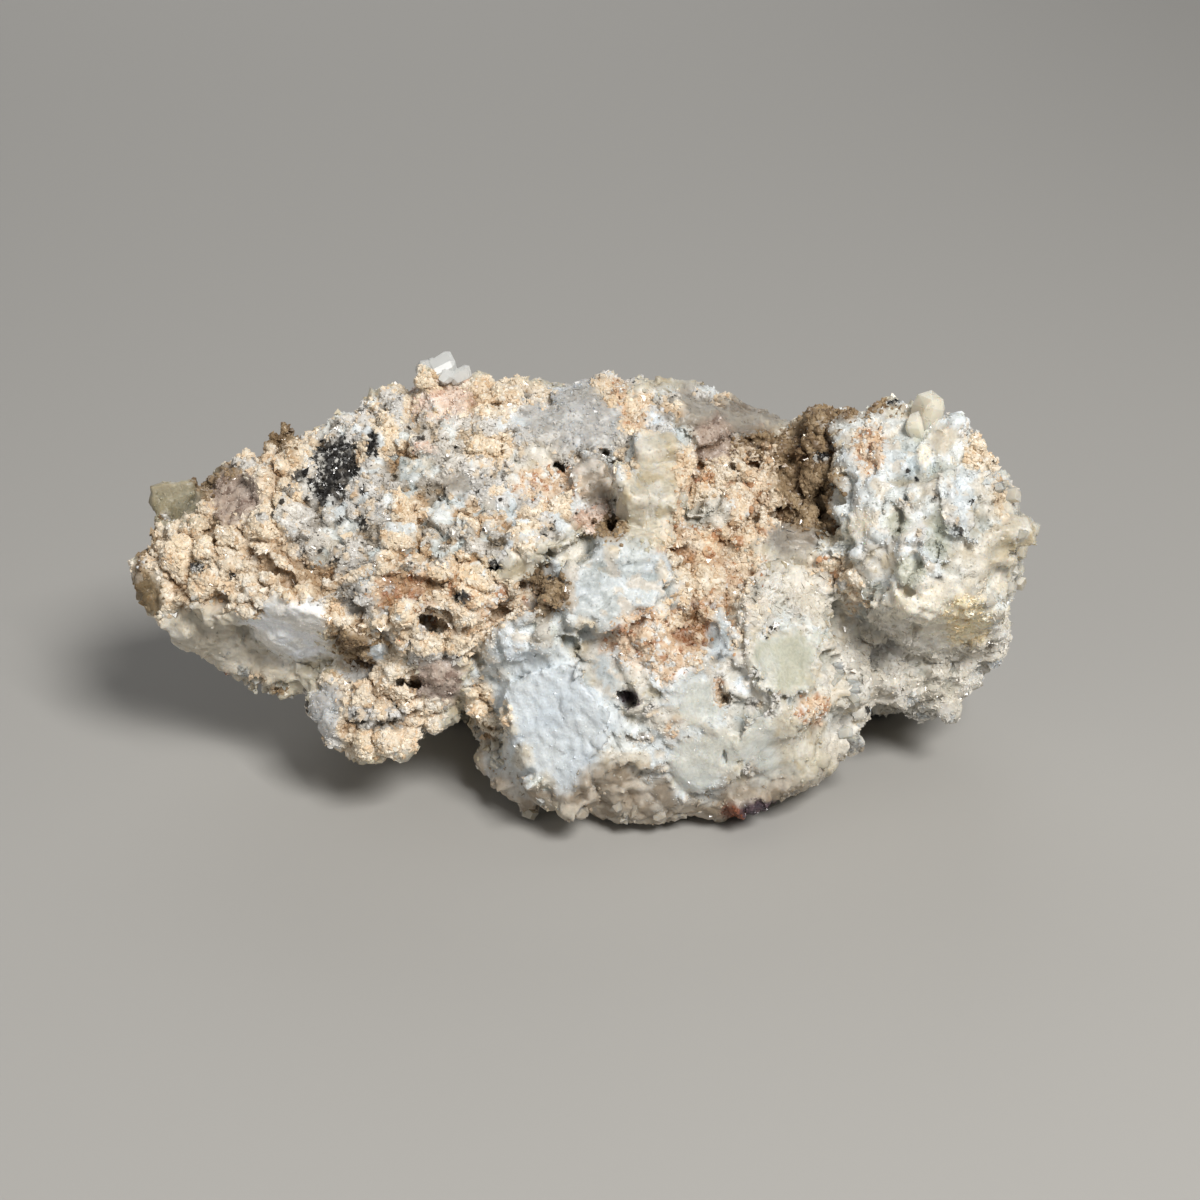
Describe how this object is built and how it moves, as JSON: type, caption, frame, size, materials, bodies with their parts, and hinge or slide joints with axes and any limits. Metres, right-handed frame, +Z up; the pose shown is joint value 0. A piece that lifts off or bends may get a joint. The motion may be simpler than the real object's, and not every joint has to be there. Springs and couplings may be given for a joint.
{
  "type": "calcite cluster",
  "caption": "Hand-sized natural calcite cluster: a knobbly mass of sugary tan and white druse with pale cleavage plates and stubby translucent crystals on its rim, back and underside.",
  "frame": {"origin": "on the table, under the middle of the specimen's bounding box", "axes": "+X along the longest side, to the right as seen from the drusy front; +Z up; -Y out of the drusy front"},
  "size_m": [0.1154, 0.0522, 0.0543],
  "materials": {
    "druse": "matt sugary crystal crust in tan and cream, stained orange and brown in hollows",
    "frost": "matt powdery white crust and pale bluish-white cleavage plates",
    "calcite": "translucent cream to honey calcite with a satin, slightly waxy gloss",
    "dark_mineral": "dark brown to black glinting grains"
  },
  "bodies": {
    "root": {"calcite_cluster": "druse"}
  },
  "joints": []
}
